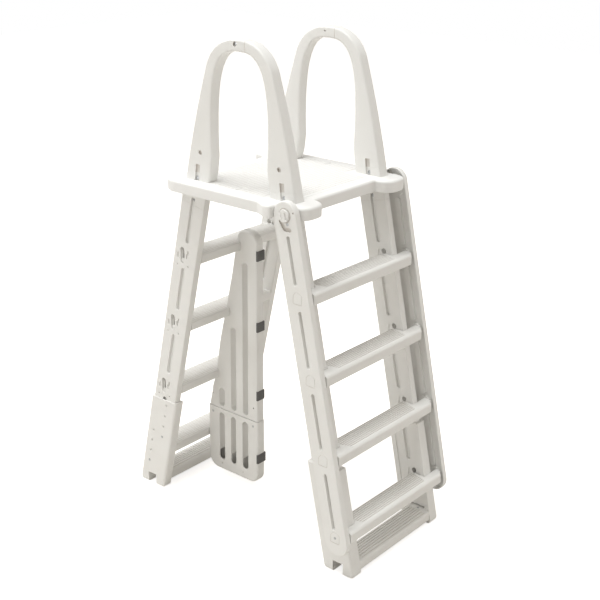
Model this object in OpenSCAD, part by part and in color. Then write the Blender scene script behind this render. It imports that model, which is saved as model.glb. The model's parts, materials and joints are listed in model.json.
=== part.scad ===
// Free-standing A-frame ladder for an above-ground pool: a moulded deck on four
// leaning legs, a swing-up ladder outside, fixed treads and a barrier inside,
// and a two-piece arched handrail on each side.
// X runs across the ladder, -Y faces the climber outside, +Y the water. Z is up.

/* [Deck] */
// Height of the deck's top above the ground
deck_top = 1335; // [1300:5:1400]
// Thickness of the deck's rim
deck_t = 44; // [40:1:50]
// Half width of the deck along its straight sides
deck_half_w = 314; // [312:1:320]
// Pool-side end of the deck, from the handrail's centre
deck_pool_y = 342.5; // [336:0.5:350]
// Height of the raised field that carries the ribs
field_h = 1; // [0.8:0.1:1.5]
// Wall of every moulded shell
wall = 5; // [4:0.5:6]

/* [Legs] */
// Lean of every leg from the vertical, in degrees
lean = 12.2; // [11.5:0.1:12.5]
// Depth of a leg rail, square to its length
rail_d = 114; // [110:1:116]
// Width of a leg rail across the ladder
rail_w = 31; // [30:0.5:34]
// Outer face of a leg rail, in from the deck's edge
rail_edge = 56; // [55:0.5:58]
// Centre of a pool-side leg where it meets the deck's underside
pool_leg_y = 220.6; // [218:0.2:224]
// Centre of an outside leg where it meets the deck's underside
front_leg_y = 206.6; // [204:0.2:210]

/* [Steps] */
// Rise from the highest tread to the deck
top_rise = 287; // [280:1:294]
// Rise from tread to tread
riser = 284; // [280:1:288]
// Depth of a pool-side tread
pool_tread_d = 104; // [98:1:108]
// Height of a pool-side tread
pool_tread_h = 41; // [38:1:44]
// Depth of a swing ladder's tread
swing_tread_d = 95; // [90:1:98]
// Height of a swing ladder's tread
swing_tread_h = 43; // [40:1:45]

/* [Swing ladder] */
// Distance of the pivot in front of the handrail's centre
pivot_y = 258; // [256:1:260]
// Height of the pivot below the deck's top
pivot_drop = 27; // [26:1:28]
// Half depth of a swing rail, and the radius of its ends
swing_r = 48.6; // [46:0.2:49]
// Width of a swing rail across the ladder
swing_w = 22.7; // [21.7:0.1:24]
// Centre of a swing rail's lower end, below the lowest tread's top
swing_tail = 40.3; // [36:0.1:44]
// Spacing of the ribs on a swing ladder's tread
rib_step = 9.6; // [9:0.1:10]

/* [Handrails] */
// Height of a handrail above the deck
arch_h = 513; // [480:1:540]
// Half length of a handrail where it stands on the deck
arch_half = 259; // [256:1:262]
// Width of a handrail across the ladder
arch_w = 46.7; // [45:0.1:48]
// Outer face of a handrail, in from the deck's edge
arch_edge = 51.7; // [50:0.1:54]

/* [Adjustable feet] */
// Top of a leg sleeve above the ground
sleeve_top = 405; // [400:1:412]
// Outer side of a pool-side sleeve
pool_sleeve_side = 4; // [3.5:0.5:8]
// Outer side of an outside sleeve
front_sleeve_side = 15; // [10:1:20]
// Spacing of the adjusting holes along a leg
hole_step = 50.8; // [50:0.1:51]

/* [Barrier] */
// Half thickness of the upper barrier panel
barrier_half = 19; // [17:0.5:20]
// Free edge of the barrier, from the handrail's centre
barrier_y = 132.6; // [130:0.2:136]
// Lowest edge of the barrier above the ground
barrier_low = 24; // [20:1:30]
// Top of the lower barrier panel above the ground
barrier_seam = 304; // [300:1:308]

/* [Fits] */
// Gap left between parts that slide past each other
slide_gap = 0.3; // [0.3:0.05:0.5]
// Radial clearance of the pivot pins in their bores
pin_fit = 0.05; // [0.02:0.01:0.08]
// Radial clearance of screws and bolts in their holes
screw_fit = 0.2; // [0.1:0.05:0.4]

/* [Hidden] */
$fn = 64;
eps = 0.01;

shell = [0.93, 0.92, 0.88];
steel = [0.72, 0.73, 0.74];
rubber = [0.27, 0.27, 0.27];

// Reach of cuts that run past every edge.
far = 2500;

deck_bottom = deck_top - deck_t;
tread_top = deck_top - top_rise;
slope = tan(lean);
rail_out = deck_half_w - rail_edge;
rail_in = rail_out - rail_w;
arch_out = deck_half_w - arch_edge;
arch_in = arch_out - arch_w;
ear_step = 17;
ear_in = deck_half_w - ear_step;
ear_out = deck_half_w + 22;
swing_in = ear_in + slide_gap;
swing_out = swing_in + swing_w;
pool_sleeve_out = rail_out + pool_sleeve_side;
front_sleeve_out = rail_out + front_sleeve_side;
collar_len = 53;
rail_foot = 62;
sleeve_d = rail_d + 19;
sleeve_lip = 4;
pivot_z = deck_top - pivot_drop;
swing_len = along(pivot_z - level(4)) + swing_tail;

// --- Outlines -------------------------------------------------------------
// An outline is a list of [across, up, corner radius], counter-clockwise.

function unit(v) = v / norm(v);
function prev(p, k) = p[(k + len(p) - 1) % len(p)];
function next(p, k) = p[(k + 1) % len(p)];
function flat2(p) = [p[0], p[1]];
function turn(a) = a > 180 ? a - 360 : a < -180 ? a + 360 : a;

// Corner b between a and c, rounded to radius r with n chords.
function corner(a, b, c, r, n) =
    let (u = unit(a - b), v = unit(c - b), half = acos(u * v) / 2,
         mid = b + unit(u + v) * r / sin(half),
         p = b + u * r / tan(half) - mid, q = b + v * r / tan(half) - mid,
         a0 = atan2(p[1], p[0]), sweep = turn(atan2(q[1], q[0]) - a0))
    [for (k = [0 : n]) mid + r * [cos(a0 + sweep * k / n), sin(a0 + sweep * k / n)]];

function rounded(p, n = 8) = [for (k = [0 : len(p) - 1])
    let (b = flat2(p[k]), r = p[k][2])
    each (r <= 0 ? [b] : corner(flat2(prev(p, k)), b, flat2(next(p, k)), r, n))];

// The outline moved inwards by i.
function inset(p, i) = [for (k = [0 : len(p) - 1])
    let (b = flat2(p[k]), e = unit(b - flat2(prev(p, k))), f = unit(flat2(next(p, k)) - b),
         m = [-e[1] - f[1], e[0] + f[0]] / (1 + e * f),
         convex = e[0] * f[1] - e[1] * f[0] > 0)
    [b[0] + i * m[0], b[1] + i * m[1], max(0, p[k][2] + (convex ? -i : i))]];

module outline(p) polygon(rounded(p));

// Draws in the (y, z) plane, from x0 to x1.
module yz(x0, x1) translate([x0, 0, 0]) rotate([90, 0, 90]) linear_extrude(height = x1 - x0) children();

// An upright slot with round ends, centred on [y, z].
module slot(y, z, w, h) {
    translate([y - w / 2 + eps, z - h / 2 + w / 2]) square([w - 2 * eps, h - w]);
    for (s = [-1, 1]) translate([y, z + s * (h - w) / 2]) circle(r = w / 2);
}

// A round pin or hole along X.
module across(x0, x1, y, z, r) translate([x0, y, z]) rotate([0, 90, 0]) cylinder(r = r, h = x1 - x0);

// Everything is drawn about the handrail's centre, then moved so that the
// whole ladder is centred on its own outline.
front_reach = pivot_y + swing_len * sin(lean) + swing_r;
foot_r = 14;
pool_reach = leg_y(pool_leg_y, 0) + sleeve_d / 2 / cos(lean) - foot_r * (1 / cos(lean) + slope - 1);
y_mid = (pool_reach - front_reach) / 2;
module placed(side = 1, front = false)
    translate([0, -y_mid, 0]) mirror([side < 0 ? 1 : 0, 0, 0]) mirror([0, front ? 1 : 0, 0]) children();

// --- Legs -----------------------------------------------------------------
// Centre of a leg at height z; y0 is its centre at the deck's underside.
function leg_y(y0, z) = y0 + slope * (deck_bottom - z);
function leg_front(y0, z) = leg_y(y0, z) + rail_d / 2 / cos(lean);
function level(k) = tread_top - (k - 1) * riser;
function along(dz) = dz / cos(lean);
// A tread whose underside is lower than the sleeves' tops.
function low(k) = level(k) - swing_tread_h < sleeve_top;

// Local plane of a leg: across it, and down its length from the deck's underside.
module leg_plane(y0) translate([y0, deck_bottom]) rotate(lean) children();
module leg_strip(y0, d, s0, s1) leg_plane(y0) translate([-d / 2, -s1]) square([d, s1 - s0]);

// The four long grooves of a leg, by the heights of their ends.
groove_w = 18;
groove_deep = 10.5;
grooves = [[deck_bottom - 26, tread_top + 37],
           [tread_top - 66, level(2) + 44],
           [level(2) - 64, level(3) + 46],
           [level(3) - 63, level(4) + 47]];
module groove_plan(y0) for (g = grooves)
    leg_plane(y0) slot(0, -along(deck_bottom - (g[0] + g[1]) / 2), groove_w, along(g[0] - g[1]));

// Hollow cells of a rail, one on each side of every groove.
cell_end = 16;
module rail_cells(y0) for (g = grooves, s = [-1, 1]) {
    low = along(deck_bottom - g[1]) - cell_end;
    high = max(along(deck_bottom - g[0]) + cell_end, collar_len + wall);
    inner = groove_w / 2 + wall;
    leg_plane(y0) translate([s > 0 ? inner : wall - rail_d / 2, -low])
        square([rail_d / 2 - wall - inner, low - high]);
}

// Heights of the holes where a tread's peg enters and comes to rest.
peg_r = 9.5;
peg_neck_r = 4.8;
peg_drop = 43;
peg_hole_z = 8;
function peg_z(k) = level(k) + peg_hole_z - peg_drop;
function peg_y(y0, k) = leg_y(y0, level(k) - 14) + 14;

// Keyhole of one tread level, and the small locking marks beside it.
module keyhole(y0, k) {
    y = peg_y(y0, k);
    z = level(k) + peg_hole_z;
    yz(rail_out - 9, rail_out + 1) slot(y, z - peg_drop / 2, 2 * peg_r + 1, peg_drop + 2 * peg_r + 1);
    across(rail_in - 1, rail_out, y, z, peg_r + 0.5);
    yz(rail_in - 1, rail_out) translate([y - peg_neck_r - 0.3, z - peg_drop]) square([2 * peg_neck_r + 0.6, peg_drop]);
    across(rail_in - 1, rail_out, y, z - peg_drop, peg_neck_r + 0.3);
    yz(rail_out - 5, rail_out + 1) {
        slot(y + 23, z - 24, 8, 22);
        leg_hook(y - 26, z - 12);
    }
    for (s = [-1, 1]) across(rail_out - 4, rail_out + 1, y + s * 28, z - 62, 3.5);
    yz(rail_in - 1, rail_in + 4) slot(y - 21, z - 12, 8, 30);
}
// Hooked slot: two short legs stepped sideways.
module leg_hook(y, z) {
    translate([y - 7, z - 2]) square([6, 14]);
    translate([y - 7, z - 6]) square([13, 5]);
    translate([y + 1, z - 20]) square([5, 16]);
}

// One leg rail: a closed moulding with pinched grooves, keyholes and, at the
// top, a spigot that fits the deck's collar.
module leg_rail(side, front) color(shell) placed(side, front) {
    y0 = front ? front_leg_y : pool_leg_y;
    difference() {
        union() {
            yz(rail_in, rail_out) intersection() {
                leg_strip(y0, rail_d, collar_len, deck_top);
                translate([0, rail_foot]) square([far, deck_top]);
            }
            yz(rail_in + wall, rail_out - wall) leg_strip(y0, rail_d - 2 * wall, 4, collar_len + eps);
        }
        yz(rail_in + wall, rail_out - wall) rail_cells(y0);
        for (x = [rail_in - 1, rail_out - groove_deep]) yz(x, x + groove_deep + 1) groove_plan(y0);
        for (k = [1 : 4]) keyhole(y0, k);
        leg_bolt_hole(y0);
        for (c = hole_columns) across(rail_out - 12, rail_out + 1, leg_y(y0, c[1]) + c[0], c[1], 3.5);
    }
}

bolt_r = 4;
leg_bolt_z = deck_bottom - 34;
module leg_bolt_hole(y0) across(rail_in - 1, rail_out + 1, leg_y(y0, leg_bolt_z), leg_bolt_z, bolt_r + screw_fit);

// Through bolts that hold the rails in the deck's collars, with their nuts.
module leg_rail_bolts() color(steel) for (side = [-1, 1], front = [true, false]) placed(side, front) {
    y = leg_y(front ? front_leg_y : pool_leg_y, leg_bolt_z);
    x0 = rail_in + groove_deep;
    x1 = rail_out - groove_deep;
    across(x0 - 5, x1 + 3, y, leg_bolt_z, bolt_r);
    across(x1, x1 + 3, y, leg_bolt_z, 7);
    across(x0 - 4, x0, y, leg_bolt_z, 7);
}

// --- Deck -----------------------------------------------------------------
ear_wall_y = pivot_y - swing_r - 3.4;
ear_front = pivot_y + 67;
lobe_in = rail_in - 53;
pool_lobe_in = rail_in - 30;
deck_half = [
    [lobe_in, 59.5 - ear_front, 9.5], [lobe_in, -ear_front, 50], [ear_in, -ear_front, 45], [ear_in, -ear_wall_y, 0],
    [ear_out, -ear_wall_y, 5], [ear_out, 30 - ear_wall_y, 30], [deck_half_w, 72 - ear_wall_y, 30],
    [deck_half_w, deck_pool_y, 75], [pool_lobe_in, deck_pool_y, 20], [pool_lobe_in, deck_pool_y - 72, 51]
];
// Raised field: full width between the handrails' legs, narrower in front of
// and behind them.
field_half = [
    [arch_in - 16, 97 - ear_front, 8], [arch_in - 16, -117, 0], [deck_half_w - 35, -117, 8],
    [deck_half_w - 35, 142, 8], [arch_in - 26, 142, 0], [arch_in - 26, deck_pool_y - 97, 8]
];
function both_sides(p) = concat(p, [for (k = [len(p) - 1 : -1 : 0]) [-p[k][0], p[k][1], p[k][2]]]);
deck_plan = both_sides(deck_half);

deck_rib_step = 90;
deck_rib_t = 4;
boss_r = 16.5;

// Plan of a leg's collar, from the deck's top plate to the seam with the rail.
module collar_strip(y0) yz(rail_in, rail_out) intersection() {
    leg_strip(y0, rail_d, -2 * deck_t, collar_len);
    translate([0, deck_bottom - 2 * collar_len]) square([far, deck_t + 2 * collar_len - wall]);
}

// Deck: a ribbed tray, open below, with a boss for each pivot pin.
module deck() color(shell) placed() difference() {
    union() {
        difference() {
            translate([0, 0, deck_bottom]) linear_extrude(height = deck_t) outline(deck_plan);
            translate([0, 0, deck_bottom - 1]) linear_extrude(height = deck_t - wall + 1)
                outline(inset(deck_plan, wall));
        }
        translate([0, 0, deck_top - 1]) linear_extrude(height = field_h + 1) outline(both_sides(field_half));
        difference() {
            intersection() {
                translate([0, 0, deck_bottom]) linear_extrude(height = deck_t - eps) outline(inset(deck_plan, 1));
                union() {
                    for (k = [-3 : 3]) translate([k * deck_rib_step - deck_rib_t / 2, -far / 2, deck_bottom + 8])
                        cube([deck_rib_t, far, deck_t - 10]);
                    for (k = [-2 : 2]) translate([-far / 2, k * deck_rib_step - deck_rib_t / 2, deck_bottom + 8])
                        cube([far, deck_rib_t, deck_t - 10]);
                    for (s = [-1, 1]) yz(s > 0 ? rail_out : -ear_in, s > 0 ? ear_in : -rail_out)
                        translate([-pivot_y - boss_r, deck_bottom]) square([2 * boss_r, deck_t]);
                    for (s = [-1, 1]) translate([s * latch_x, -latch_y, deck_bottom]) cylinder(r = 8, h = deck_t);
                }
            }
            for (side = [-1, 1], front = [true, false]) mirror([side < 0 ? 1 : 0, 0, 0]) mirror([0, front ? 1 : 0, 0])
                collar_strip(front ? front_leg_y : pool_leg_y);
        }
    }
    for (s = [-1, 1]) across(s > 0 ? pin_end : -ear_in - 1, s > 0 ? ear_in + 1 : -pin_end, -pivot_y, pivot_z, pin_r + pin_fit);
    for (s = [-1, 1]) translate([s * latch_x, -latch_y, deck_bottom - 1]) cylinder(r = 3 + screw_fit, h = 10);
}

// Collar that hangs from the deck's top plate and takes the spigot of a leg.
module leg_collar(side, front) color(shell) placed(side, front) difference() {
    y0 = front ? front_leg_y : pool_leg_y;
    collar_strip(y0);
    yz(rail_in + wall, rail_out - wall) leg_strip(y0, rail_d - 2 * wall, -2 * deck_t, collar_len + 1);
    leg_bolt_hole(y0);
    for (x = [rail_in - 1, rail_out - groove_deep]) yz(x, x + groove_deep + 1) intersection() {
        groove_plan(y0);
        leg_strip(y0, rail_d, 0, collar_len + 1);
    }
}

// --- Handrails ------------------------------------------------------------
arch_r = 140.8;
arch_bend_y = 15.9;
bend_start = 12;
loop_a = 131;
loop_power = 2.9;
joint_y = 31;
seam_h = 31;
seam_tilt = 0.1845;

// Half outline of the arch's outside and of the opening under it: leaning
// sides, then a bend that starts at 0.811 of the height.
function arch_outer() = concat(
    [for (t = [0 : 0.125 : 1]) [arch_half * (1 - 0.3293 * t - 0.0929 * t * t), 0.811 * t * arch_h]],
    [for (a = [bend_start + 12 : 11 : 90]) [arch_bend_y + arch_r * cos(a), (0.7255 + 0.2745 * sin(a)) * arch_h]]);
function arch_inner() = concat(
    [for (q = [[1.102, 0], [1.022, 0.0877], [0.978, 0.1852], [0.989, 0.2632]]) [loop_a * q[0], arch_h * q[1]]],
    [for (a = [0 : 7.5 : 90]) [loop_a * pow(cos(a), 2 / loop_power), (0.3314 + 0.5906 * pow(sin(a), 2 / loop_power)) * arch_h]]);
function mirrored(p) = [for (k = [len(p) - 1 : -1 : 0]) if (p[k][0] > eps) [-p[k][0], p[k][1]]];
function as_outline(p) = [for (q = p) [q[0], q[1], 0]];

module arch_plan(i = 0) translate([0, deck_top]) difference() {
    outer = as_outline(concat(arch_outer(), mirrored(arch_outer())));
    inner = as_outline(concat([[1.102 * loop_a, -20]], arch_inner(), mirrored(arch_inner()), [[-1.102 * loop_a, -20]]));
    outline(inset(outer, i));
    outline(inset(inner, -i));
}

// Region above the seam with the foot, kept i clear of it.
function seam_z(y) = seam_h + seam_tilt * (y - arch_half + 11);
module above_seam(i) translate([0, deck_top]) polygon([
    [1.2 * arch_half, seam_z(1.2 * arch_half) + i], [1.2 * arch_half, 2 * arch_h],
    [-arch_r, 2 * arch_h], [-arch_r, seam_z(0) + i]]);

slot_lean = 6;
bolt_head_r = 7;
recess_r = 8.3;
foot_bolt_z = deck_top + 9;
foot_bolt_y = arch_half - 56;
slot_deep = 7;
recess_deep = 8;
recess_y = arch_half - 76;
recess_z = deck_top + 104;
module foot_slot(grow = 0) translate([foot_bolt_y - 4.5, deck_top + 30]) rotate(slot_lean)
    translate([-10 - grow, -44]) square([20 + 2 * grow, 74 + grow]);

// One half of a handrail. The outside half carries a tongue at the top that
// the pool half closes over.
module handrail_half(side, front) color(shell) placed(side, front) {
    end = front ? joint_y : -joint_y;
    difference() {
        yz(arch_in, arch_out) intersection() {
            arch_plan();
            above_seam(0);
            half_plane(end);
        }
        yz(arch_in + wall, arch_out - wall) difference() {
            intersection() {
                arch_plan(wall);
                above_seam(wall);
                half_plane(front ? end + wall : tongue_end + wall);
            }
            foot_slot(wall);
            translate([recess_y, recess_z]) circle(r = recess_r + wall);
        }
        across(arch_out - recess_deep, arch_out + 1, recess_y, recess_z, recess_r);
        yz(arch_out - slot_deep, arch_out + 1) foot_slot();
        yz(arch_in - 1, arch_in + slot_deep) foot_slot();
        if (!front) joint_pocket(0.2);
        if (!front) across(arch_in - 1, arch_out + 1, joint_screw_y, joint_screw_z, 3 + screw_fit);
        if (!front) across(arch_out - 5, arch_out + 1, joint_screw_y, joint_screw_z, recess_r);
    }
    if (front) mirror([0, 1, 0]) difference() {
        joint_pocket(0);
        across(arch_in - 1, arch_out + 1, joint_screw_y, joint_screw_z, 3 + screw_fit);
    }
}
module half_plane(y) translate([y, deck_top - 10]) square([far, far]);

// Tongue and pocket of the joint at the top of a handrail.
tongue_end = 46;
joint_screw_y = 13;
joint_screw_z = deck_top + arch_h - 16;
module joint_pocket(grow) {
    x = (arch_in + arch_out) / 2;
    yz(x - 12 - grow, x + 12 + grow) translate([-joint_y - 5 * grow, joint_screw_z - 12 - grow])
        square([tongue_end + joint_y + 6 * grow, 24 + 2 * grow]);
}

// Foot that stands a handrail's leg on the deck.
module handrail_foot(side, front) color(shell) placed(side, front) difference() {
    yz(arch_in, arch_out) difference() {
        intersection() {
            arch_plan();
            half_plane(100);
        }
        above_seam(0);
    }
    yz(arch_out - slot_deep, arch_out + 1) foot_slot();
    yz(arch_in - 1, arch_in + slot_deep) foot_slot();
    across(arch_in - 1, arch_out + 1, foot_bolt_y, foot_bolt_z, bolt_r + screw_fit);
}

// Screws that pin the tongue of each handrail joint.
module handrail_joint_screws() color(steel) for (side = [-1, 1]) placed(side) {
    across(arch_in + 2, arch_out - 5, joint_screw_y, joint_screw_z, 3);
    across(arch_out - 5, arch_out - 2, joint_screw_y, joint_screw_z, 6.5);
}

// Bolts through the handrail feet.
module handrail_foot_bolts() color(steel) for (side = [-1, 1], front = [true, false]) placed(side, front) {
    across(arch_in + 2, arch_out - 2, foot_bolt_y, foot_bolt_z, bolt_r);
    for (x = [arch_in + 2, arch_out - slot_deep]) across(x, x + 4, foot_bolt_y, foot_bolt_z, bolt_head_r);
}

// --- Pool-side treads -------------------------------------------------------
function pool_tread_y(k) = leg_y(pool_leg_y, level(k)) - rail_d / 2 / cos(lean) + 3.5;
function pool_tread_plan(k) = let (y = pool_tread_y(k), z = level(k)) [
    [y, z - pool_tread_h, 9], [y + pool_tread_d, z - pool_tread_h, 9],
    [y + pool_tread_d, z - 4, 8], [y + pool_tread_d - 26, z, 60], [y + 26, z, 60], [y, z - 4, 8]];

// Tread k of the pool side: a closed moulding with a keyed peg at each end.
// The lowest one is stepped back where the leg sleeves pass.
module pool_tread(k) color(shell) placed() {
    half = low(k) ? rail_in - sleeve_lip - 2 * slide_gap - 0.4 : rail_in;
    difference() {
        yz(-half, half) outline(pool_tread_plan(k));
        yz(-half + wall, half - wall) outline(inset(pool_tread_plan(k), wall));
    }
    for (s = [-1, 1]) mirror([s < 0 ? 1 : 0, 0, 0]) {
        if (low(k)) yz(half - eps, rail_in) intersection() {
            outline(inset(pool_tread_plan(k), 2));
            leg_strip(pool_leg_y, rail_d - 32, 0, far);
        }
        across(half - eps, rail_out - 8.8, peg_y(pool_leg_y, k), peg_z(k), peg_neck_r);
        across(rail_out - 8.8, rail_out - 4, peg_y(pool_leg_y, k), peg_z(k), peg_r);
    }
}

// --- Swing ladder -----------------------------------------------------------
pin_r = 12;
pin_end = rail_out + 4;
swing_web = 7;
flange = 4.5;
ridge_w = 21;
swing_groove_w = 13;
swing_groove_deep = 13;
// The long recesses of a swing rail, by the heights of their ends.
swing_grooves = [[pivot_z - 68, level(1) + 25], [level(1) - 62, level(2) + 23],
                 [level(2) - 64, level(3) + 19], [level(3) - 67, level(4) + 11]];
plug_w = 37;
plug_h = 40;
plug_deep = 16;

// Local plane of the swing ladder: across it, and down its length from the pivot.
module swing_plane() translate([pivot_y, pivot_z]) rotate(lean) children();
module stadium(r) swing_plane() {
    translate([-r, -swing_len]) square([2 * r, swing_len]);
    circle(r = r);
    translate([0, -swing_len]) circle(r = r);
}
function swing_y(z) = pivot_y + slope * (pivot_z - z);
function plug_z(k) = level(k) - 18;

// House-shaped outline of the plug at tread k, with a cut upper corner.
module plug_plan(k, grow = 0) {
    y = swing_y(plug_z(k));
    z = plug_z(k);
    outline(inset([[y - plug_w / 2, z - plug_h / 2, 3], [y + plug_w / 2, z - plug_h / 2, 3],
        [y + plug_w / 2, z + plug_h / 2 - 7, 3], [y + plug_w / 2 - 12, z + plug_h / 2, 3],
        [y - plug_w / 2 + 10, z + plug_h / 2, 3], [y - plug_w / 2, z + plug_h / 2 - 12, 3]], -grow));
}

module swing_groove_plan(w) swing_plane() for (g = swing_grooves)
    slot(0, -along(pivot_z - (g[0] + g[1]) / 2), w, along(g[0] - g[1]) + w - swing_groove_w);

// One swing rail: a channel open inwards, with an eye for the pivot pin.
module swing_rail(side) color(shell) placed(side, true) difference() {
    union() {
        difference() {
            yz(swing_in, swing_out) stadium(swing_r);
            yz(swing_in - 1, swing_out - swing_web) stadium(swing_r - flange);
        }
        yz(swing_out - swing_groove_deep - 4, swing_out - 1) swing_groove_plan(ridge_w);
        across(swing_in, swing_out - 1, pivot_y, pivot_z, 24);
        yz(swing_out - track_deep - flange, swing_out - 1) intersection() {
            translate([pivot_y + 3, pivot_z - 37]) circle(r = 28);
            stadium(swing_r - 1);
        }
        for (k = [1 : 4]) yz(swing_out - plug_deep, swing_out - 1) plug_plan(k, 4);
    }
    yz(swing_out - swing_groove_deep, swing_out + 1) swing_groove_plan(swing_groove_w);
    across(swing_in - 1, swing_out + 1, pivot_y, pivot_z, pin_r + pin_fit);
    for (k = [1 : 4]) yz(swing_in - 1, swing_out + 1) plug_plan(k, slide_gap / 3);
    across(swing_out - knob_seat, swing_out + 1, pivot_y, pivot_z, knob_r + 3.5);
    yz(swing_out - track_deep, swing_out + 1) lock_track();
    across(swing_out - 5, swing_out + 1, pivot_y + 36, pivot_z + 15, 3);
    across(swing_out - track_deep - flange - 1, swing_out + 1, lock_screw_y, lock_screw_z, 2.5 + screw_fit);
}
lock_screw_y = pivot_y + 14;
lock_screw_z = pivot_z - 28;

// Hook-shaped track below the knob, in which the raised ladder is locked.
track_deep = 7;
module lock_track() {
    track = [[pivot_y - 17, pivot_z - 22, 0], [pivot_y + 1, pivot_z - 46, 0], [pivot_y + 23, pivot_z - 46, 0]];
    for (p = track) translate([p[0], p[1]]) circle(r = 7);
    polygon([[pivot_y - 22.6, pivot_z - 26.2], [pivot_y - 4.6, pivot_z - 50.2],
             [pivot_y + 6.6, pivot_z - 41.8], [pivot_y - 11.4, pivot_z - 17.8]]);
    translate([pivot_y + 1, pivot_z - 53]) square([22, 14]);
}

swing_half = swing_in + 1.7;
nose_end = ear_in - 11;
function nose_y(k) = swing_y(level(k)) + swing_r / cos(lean) - 1;
function rail_face(k, z) = (low(k) ? sleeve_d - rail_d : 0) / 2 / cos(lean) + leg_front(front_leg_y, z);

// Tread k of the swing ladder: a deep nosing between the swing rails, and a
// back part that reaches in between the outside legs.
module swing_tread(k) color(shell) placed(1, true) {
    z1 = level(k);
    z0 = z1 - swing_tread_h;
    nose = nose_y(k);
    back_half = low(k) ? rail_in - sleeve_lip - 2 * slide_gap - 1 : rail_in - 1.5;
    front_plan = [[rail_face(k, z0) + slide_gap, z0, 2], [nose, z0, 6], [nose, z1, 10], [rail_face(k, z1) + slide_gap, z1, 2]];
    back_plan = [[nose - swing_tread_d, z0, 6], [nose - 8, z0, 0], [nose - 8, z1, 0], [nose - swing_tread_d, z1, 8]];
    difference() {
        union() {
            yz(-swing_half, swing_half) intersection() {
                outline(front_plan);
                behind(nose - 9, z0, z1);
            }
            yz(-nose_end, nose_end) outline(front_plan);
            yz(-back_half, back_half) outline(back_plan);
        }
        yz(-back_half + wall, back_half - wall) outline([
            [nose - swing_tread_d + wall, z0 + wall, 2], [nose - wall, z0 + wall, 3],
            [nose - wall, z1 - wall, 6], [nose - swing_tread_d + wall, z1 - wall, 3]]);
        for (n = [0 : 7]) translate([-back_half + 6 + (7 - n) * 2.8, nose - 21 - n * rib_step, z1 - 1.6])
            cube([2 * (back_half - 6 - (7 - n) * 2.8), 4.2, 3]);
    }
    for (s = [-1, 1]) mirror([s < 0 ? 1 : 0, 0, 0]) yz(swing_half - eps, swing_out - plug_deep) intersection() {
        plug_plan(k, 6);
        outline(front_plan);
    }
}
// Everything behind y, for the ends of the tread that stop short of the nose.
module behind(y, z0, z1) translate([y - far, z0 - 1]) square([far, z1 - z0 + 2]);

// Plugs that lock the treads in the swing rails.
module swing_tread_plugs() color(shell) for (side = [-1, 1], k = [1 : 4]) placed(side, true) difference() {
    yz(swing_out - plug_deep, swing_out + 0.4) plug_plan(k);
    if (k == 4) across(swing_out - plug_deep - 1, swing_out + 1, swing_y(plug_z(k)), plug_z(k), 2.5 + screw_fit);
}

// Screws in the lowest plugs.
module swing_tread_screws() color(steel) for (side = [-1, 1]) placed(side, true) {
    across(swing_out - 14, swing_out + 0.4, swing_y(plug_z(4)), plug_z(4), 2.5);
    across(swing_out + 0.4, swing_out + 2, swing_y(plug_z(4)), plug_z(4), 5);
}

// Screws beside the locking tracks.
module swing_lock_screws() color(steel) for (side = [-1, 1]) placed(side, true) {
    across(swing_out - swing_web, swing_out, lock_screw_y, lock_screw_z, 2.5);
    across(swing_out, swing_out + 2, lock_screw_y, lock_screw_z, 5);
}

// Quarter-turn knob with its pivot pin.
knob_r = 22;
knob_t = 7;
knob_seat = 3;
module pivot_knob(side) color(shell) placed(side, true) difference() {
    union() {
        across(pin_end + 1, swing_out + slide_gap + 1, pivot_y, pivot_z, pin_r);
        across(swing_out - knob_seat + slide_gap, swing_out + knob_t, pivot_y, pivot_z, knob_r);
    }
    for (a = [60, 240]) translate([0, pivot_y, pivot_z]) rotate([a, 0, 0])
        translate([swing_out + knob_t - 4, -5, 12]) cube([10, 10, 14]);
    translate([0, pivot_y, pivot_z]) rotate([15, 0, 0]) for (s = [-1, 1])
        translate([swing_out + knob_t - 3, s * 9 - 3, -10]) cube([10, 6, 20]);
}

// Headed pins under the ears that keep the raised ladder from swinging back.
latch_x = ear_out - 18;
latch_y = ear_wall_y - 10;
module latch_pins() color(steel) for (side = [-1, 1]) placed(side, true) {
    translate([latch_x, latch_y, deck_bottom - 4]) cylinder(r = 5.5, h = 4);
    translate([latch_x, latch_y, deck_bottom - 4 + eps]) cylinder(r = 3, h = 12);
}

// --- Adjustable feet --------------------------------------------------------
foot_h = 57;
foot_notch_w = 45;
foot_notch_h = 45;

function sleeve_plan(y0) = let (half = sleeve_d / 2 / cos(lean)) [
    [leg_y(y0, 0) - half, 0, foot_r], [leg_y(y0, 0) + half, 0, foot_r],
    [leg_y(y0, sleeve_top) + half, sleeve_top, 4], [leg_y(y0, sleeve_top) - half, sleeve_top, 4]];

hole_columns = [[-18.7, 233, 4], [32.5, 102, 4]];
function hole_at(y0, c, n) = let (dz = n * hole_step * cos(lean))
    [leg_y(y0, c[1] + dz) + c[0], c[1] + dz];

// Sleeve round the foot of a leg, open inwards between two lips.
module sleeve(side, front) color(shell) placed(side, front) {
    y0 = front ? front_leg_y : pool_leg_y;
    out = front ? front_sleeve_out : pool_sleeve_out;
    in = rail_in - slide_gap - sleeve_lip;
    difference() {
        yz(in, out) outline(sleeve_plan(y0));
        yz(rail_in - slide_gap, rail_out + slide_gap) intersection() {
            leg_strip(y0, rail_d + 2 * slide_gap, 0, far);
            translate([0, foot_h]) square([far, far]);
        }
        yz(in - 1, rail_in) intersection() {
            leg_strip(y0, rail_d - 20, 0, far);
            translate([0, foot_h]) square([far, far]);
        }
        yz(in - 1, out + 1) translate([leg_y(y0, 0) - foot_notch_w / 2 - 4, -1]) square([foot_notch_w, foot_notch_h + 1]);
        if (front) yz(rail_out + slide_gap + 4, out - 4) outline(inset(sleeve_plan(y0), 12));
        for (c = hole_columns, n = [0 : 3]) {
            p = hole_at(y0, c, n);
            across(rail_out, out + 1, p[0], p[1], 3.5 + screw_fit);
            across(out - 1.5, out + 1, p[0], p[1], 5.5);
        }
    }
}

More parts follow.
